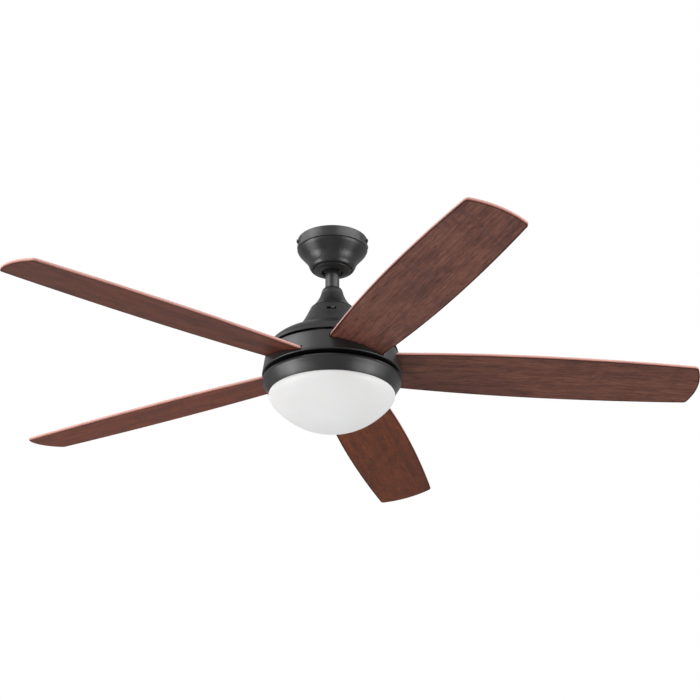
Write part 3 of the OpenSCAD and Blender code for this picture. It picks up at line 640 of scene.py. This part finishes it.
bowl_line = smooth(
    [(105.2, -300.6), (105.2, -303.6), (108.6, -306.1), (111.4, -307.6), (111.9, -309.6),
     (110.6, -313.6), (107, -319), (99.4, -327.8), (88.4, -338.2), (75, -348.6), (58, -358.5),
     (38, -366.3), (18, -370.4), (0, -371.5)], 7)
inner_line = smooth([(0, -368.5), (18, -367.4), (37, -363.4), (56.4, -355.8), (73, -346),
                     (86.2, -335.9), (97, -325.7), (104.2, -317.2), (107.4, -312), (107.6, -309.4),
                     (104, -306.8), (102, -304.6), (102, -299)], 6)
lip = rounded([(102, -297.4), (110.0, -297.2, 0.9), (110.2, -300.1, 0.6),
               (105.2, -300.4)])
bowl = lathe("opal_bowl", bowl_line + inner_line + lip)
# Gaps in the lip, which pass the three retainers when the bowl is twisted
GAP_AZIMUTH = 55
cut(bowl, [block("c", (105.3, -12.5, -301), (114, 12.5, -296), 0.5, 2,
                 matrix=Matrix.Rotation(math.radians(GAP_AZIMUTH + 120 * i), 4, "Z"))
           for i in range(3)])
place(bowl, "glass_bowl", OPAL, "opal_glass", "glass_bowl", angle=50)

# ---------------------------------------------------------------- blades

TIP_R, ROOT_R, ROOT_HALF, SHOULDER_R, WIDEST_R = 660.5, 86.0, 38.0, 112.0, 385.0
TIP_ARC_R, CORNER_R, TIP_DEPTH = 128.0, 9.0, 19.0
# Half the widest width, and how fast it falls towards the root and the tip
WIDEST_HALF, ROOT_CURVE, TIP_CURVE = 61.5, 1.55e-4, 1.17e-4
SIDE_STEPS, CORNER_STEPS, TIP_STEPS = 48, 12, 16
EDGE_BEVEL, DARK_EDGE = 0.7, 2.2
UNDERSIDE, BAND, RIM, TOP = range(4)
# How far each blade's stain leans from the usual red, green and blue
BLADE_STAINS = [(1.10, 1.03, 1.06), (1.22, 0.68, 0.27), (1.54, 0.78, 0.38), (1.00, 0.70, 0.54),
                (1.24, 1.22, 1.30)]
TOP_STAIN = (1.10, 0.96, 0.92)
# How much darker each blade's colour is for the painted shade along the underside's edge
RIM_PAINTED_SHADE = (0.42, 0.26, 0.24)


def blade_half(u):
    """Half the blade's width at u mm from the axis."""
    curve = ROOT_CURVE if u < WIDEST_R else TIP_CURVE
    return WIDEST_HALF - curve * (u - WIDEST_R) ** 2


def blade_side():
    """One edge of the blade from root to tip, as (u, v) in mm."""
    corner_v = blade_half(TIP_R - TIP_DEPTH) - CORNER_R
    tip_u = TIP_R - TIP_ARC_R
    turn = math.asin(corner_v / (TIP_ARC_R - CORNER_R))
    centre_u = tip_u + (TIP_ARC_R - CORNER_R) * math.cos(turn)
    side = [(ROOT_R, ROOT_HALF)]
    for k in range(SIDE_STEPS + 1):
        u = SHOULDER_R + (centre_u - SHOULDER_R) * k / SIDE_STEPS
        side.append((u, blade_half(u)))
    for k in range(1, CORNER_STEPS):
        a = math.pi / 2 - (math.pi / 2 - turn) * k / CORNER_STEPS
        side.append((centre_u + CORNER_R * math.cos(a), corner_v + CORNER_R * math.sin(a)))
    for k in range(TIP_STEPS + 1):
        a = turn * (1 - k / TIP_STEPS)
        side.append((tip_u + TIP_ARC_R * math.cos(a), TIP_ARC_R * math.sin(a)))
    return side


def settled_mesh(name, bm):
    """The mesh of bm in a fixed order, as bmesh leaves one that changes from run to run."""
    points = sorted(bm.verts, key=lambda v: tuple(v.co))
    number = {v: k for k, v in enumerate(points)}
    faces = [([number[v] for v in face.verts], face.material_index) for face in bm.faces]
    faces.sort(key=lambda face: sorted(face[0]))
    mesh = bpy.data.meshes.new(name)
    mesh.from_pydata([tuple(v.co) for v in points], [], [loop for loop, _ in faces])
    mesh.polygons.foreach_set("material_index", [index for _, index in faces])
    mesh.update()
    bm.free()
    return mesh


def make_blade(i):
    """One blade: a flat plank with its banding and stain, put in place on the rotor."""
    side = blade_side()
    outline = side + [(u, -v) for u, v in side[-2::-1]]
    bm = bmesh.new()
    low = [bm.verts.new((u * MM, v * MM, -BLADE_T / 2 * MM)) for u, v in outline]
    face = bm.faces.new(low)
    face.normal_update()
    if face.normal.z > 0:
        face.normal_flip()
    up = bmesh.ops.extrude_face_region(bm, geom=[face])
    bmesh.ops.translate(bm, vec=(0, 0, BLADE_T * MM),
                        verts=[v for v in up["geom"] if isinstance(v, bmesh.types.BMVert)])
    bmesh.ops.recalc_face_normals(bm, faces=bm.faces)
    rim = [e for e in bm.edges if abs(e.verts[0].co.z - e.verts[1].co.z) < 1e-7]
    bmesh.ops.bevel(bm, geom=rim, offset=EDGE_BEVEL * MM, segments=3, profile=0.6,
                    affect="EDGES", clamp_overlap=True)
    for face in bm.faces:
        if abs(face.normal.z) < 0.94:
            face.material_index = BAND
        else:
            face.material_index = UNDERSIDE if face.normal.z < 0 else TOP
    # A painted shade darkens the underside along its edge, where the rounded edge falls in shade
    under = min(bm.faces, key=lambda f: f.calc_area() * f.normal.z)
    for face in bmesh.ops.inset_region(bm, faces=[under], thickness=DARK_EDGE * MM)["faces"]:
        face.material_index = RIM
    mesh = settled_mesh(f"walnut_blade_{i + 1}", bm)
    stain = BLADE_STAINS[i]
    rim_painted_shade = [c * d for c, d in zip(stain, RIM_PAINTED_SHADE)]
    # In the order of UNDERSIDE, BAND, RIM and TOP
    for material in (walnut(f"walnut_{i + 1}", i, stain), banding(f"edge_band_{i + 1}", i),
                     walnut(f"painted_shade_edge_{i + 1}", i, rim_painted_shade),
                     walnut(f"walnut_top_{i + 1}", i + BLADES, TOP_STAIN)):
        mesh.materials.append(material)
    # The wood follows the blade's own coordinates, from before it is put in its place
    grain = mesh.attributes.new("grain", "FLOAT_VECTOR", "POINT")
    grain.data.foreach_set("vector", [x for v in mesh.vertices for x in v.co])
    mesh.transform(blade_matrix(i))
    obj = new_object(f"walnut_blade_{i + 1}", mesh)
    place(obj, "rotor", None, "walnut_blade", f"blade_{i + 1}", angle=40)


for i in range(BLADES):
    make_blade(i)

# ---------------------------------------------------------------- reverse switch knob

knob_lo, knob_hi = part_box("reverse_switch_knob")
centre = (knob_lo + knob_hi) / 2 / MM
front, top = knob_lo.y / MM, knob_hi.z / MM
cap = block("switch_knob_cap", (centre.x - 3.2, front + 0.2, top - 3.3),
            (centre.x + 3.2, front + 6.0, top - 0.1), 0.9, 4)
ribs = [block("c", (centre.x + x - 0.3, front - 1, centre.z - 4),
              (centre.x + x + 0.3, front + 0.7, centre.z + 4)) for x in (-1.2, 0, 1.2)]
cut(cap, ribs)
place(cap, "reverse_switch_knob", KNOB, "grey_knob", "reverse_switch_knob")

# ---------------------------------------------------------------- stage, light and camera


def softbox(name, at, size, power):
    """A rectangular lamp that faces the hub."""
    data = bpy.data.lights.new(name, "AREA")
    data.shape = "RECTANGLE"
    data.size, data.size_y = size
    data.energy = power
    lamp = bpy.data.objects.new(name, data)
    lamp.location = at
    lamp.rotation_euler = (HUB - at).to_track_quat("-Z", "Y").to_euler()
    bpy.context.scene.collection.objects.link(lamp)


HUB = Vector((0, 0, -0.2))
LIGHT_DISTANCE, HIGH, LOW = 3.2, 32, -22
# Power in watts of the upper and the lower box, by azimuth from the front to the right
SIDE_BOXES = {-110: (6, 0), -90: (9, 16), -70: (20, 36), -50: (14, 12), -30: (3, 2),
              30: (11, 0), 50: (15, 14), 70: (15, 23), 90: (10, 7)}


def around_hub(azimuth, elevation):
    a, e = math.radians(azimuth), math.radians(elevation)
    return HUB + LIGHT_DISTANCE * Vector((math.sin(a) * math.cos(e), -math.cos(a) * math.cos(e),
                                          math.sin(e)))


for azimuth, powers in SIDE_BOXES.items():
    for level, elevation, power in zip(("high", "low"), (HIGH, LOW), powers):
        if power:
            softbox(f"box_{level}_{azimuth}", around_hub(azimuth, elevation), (0.9, 1.3), power)
softbox("front_fill", around_hub(0, 40), (2.5, 2.0), 7)
softbox("low_fill", around_hub(0, -88), (3.5, 3.5), 4)
softbox("top_fill", around_hub(0, 70), (3.0, 3.0), 3)

WORLD_LIGHT, DIM_LIGHT, DIM_DEPTH = 0.43, 0.10, math.radians(29)

world = bpy.data.worlds.new("studio")
bpy.context.scene.world = world
world.use_nodes = True
tree = world.node_tree
tree.nodes.clear()
out = tree.nodes.new("ShaderNodeOutputWorld")
seen = tree.nodes.new("ShaderNodeBackground")
seen.inputs["Color"].default_value = (1, 1, 1, 1)
seen.inputs["Strength"].default_value = 1.0
lit = tree.nodes.new("ShaderNodeBackground")
lit.inputs["Color"].default_value = (1, 1, 1, 1)
# The light fades towards a point low at the front, behind the camera. The floor hides most of
# that, so little more than the sky just over the front horizon is dimmer for it.
facing = tree.nodes.new("ShaderNodeVectorMath")
facing.operation = "DOT_PRODUCT"
facing.inputs[1].default_value = (0, -math.cos(DIM_DEPTH), -math.sin(DIM_DEPTH))
tree.links.new(tree.nodes.new("ShaderNodeTexCoord").outputs["Generated"], facing.inputs[0])
fade = tree.nodes.new("ShaderNodeMapRange")
fade.interpolation_type = "SMOOTHSTEP"
for socket, value in (("From Min", 0.78), ("From Max", 0.95),
                      ("To Min", WORLD_LIGHT), ("To Max", DIM_LIGHT)):
    fade.inputs[socket].default_value = value
tree.links.new(facing.outputs["Value"], fade.inputs["Value"])
tree.links.new(fade.outputs["Result"], lit.inputs["Strength"])
path = tree.nodes.new("ShaderNodeLightPath")
both = tree.nodes.new("ShaderNodeMixShader")
tree.links.new(path.outputs["Is Camera Ray"], both.inputs[0])
tree.links.new(lit.outputs[0], both.inputs[1])
tree.links.new(seen.outputs[0], both.inputs[2])
tree.links.new(both.outputs[0], out.inputs["Surface"])

FLOOR_Z, FLOOR_REACH = -6.3, 300

floor_mesh = bpy.data.meshes.new("floor")
bm = bmesh.new()
bmesh.ops.create_grid(bm, x_segments=1, y_segments=1, size=FLOOR_REACH)
bmesh.ops.translate(bm, verts=bm.verts, vec=(0, 0, FLOOR_Z))
bm.to_mesh(floor_mesh)
bm.free()
floor = new_object("floor", floor_mesh)
paint = Nodes("pale_floor")
paint.set(Base_Color=paint.ramp(paint.noise(paint.coords(), 0.8, 3, 0.5),
                                [(0.3, (0.85, 0.85, 0.85)), (0.7, (0.88, 0.88, 0.88))]),
          Roughness=0.8)
floor_mesh.materials.append(paint.material)

CAMERA_AT = (0.0853, -3.0856, -1.6161)
CAMERA_TURN = (-0.99, 24.35, -0.02)
# The focal length and the picture's width in pixels, and the sensor's width in mm
FOCAL, PICTURE, SENSOR = 1900.6, 700, 36

yaw, pitch, roll = (math.radians(a) for a in CAMERA_TURN)
forward = Vector((math.sin(yaw) * math.cos(pitch), math.cos(yaw) * math.cos(pitch),
                  math.sin(pitch)))
right = Vector((math.cos(yaw), -math.sin(yaw), 0))
up = right.cross(forward)
side = right * math.cos(roll) + up * math.sin(roll)
above = up * math.cos(roll) - right * math.sin(roll)
camera_data = bpy.data.cameras.new("camera")
camera_data.sensor_width = SENSOR
camera_data.lens = FOCAL * SENSOR / PICTURE
camera_data.dof.use_dof = False
camera_data.clip_end = 800  # past the floor's far corners
camera = bpy.data.objects.new("camera", camera_data)
bpy.context.scene.collection.objects.link(camera)
camera.matrix_world = Matrix.Translation(CAMERA_AT) @ Matrix(
    (side, above, -forward)).transposed().to_4x4()
bpy.context.scene.camera = camera
bpy.context.scene.view_settings.view_transform = "Standard"
bpy.context.scene.view_settings.look = "None"
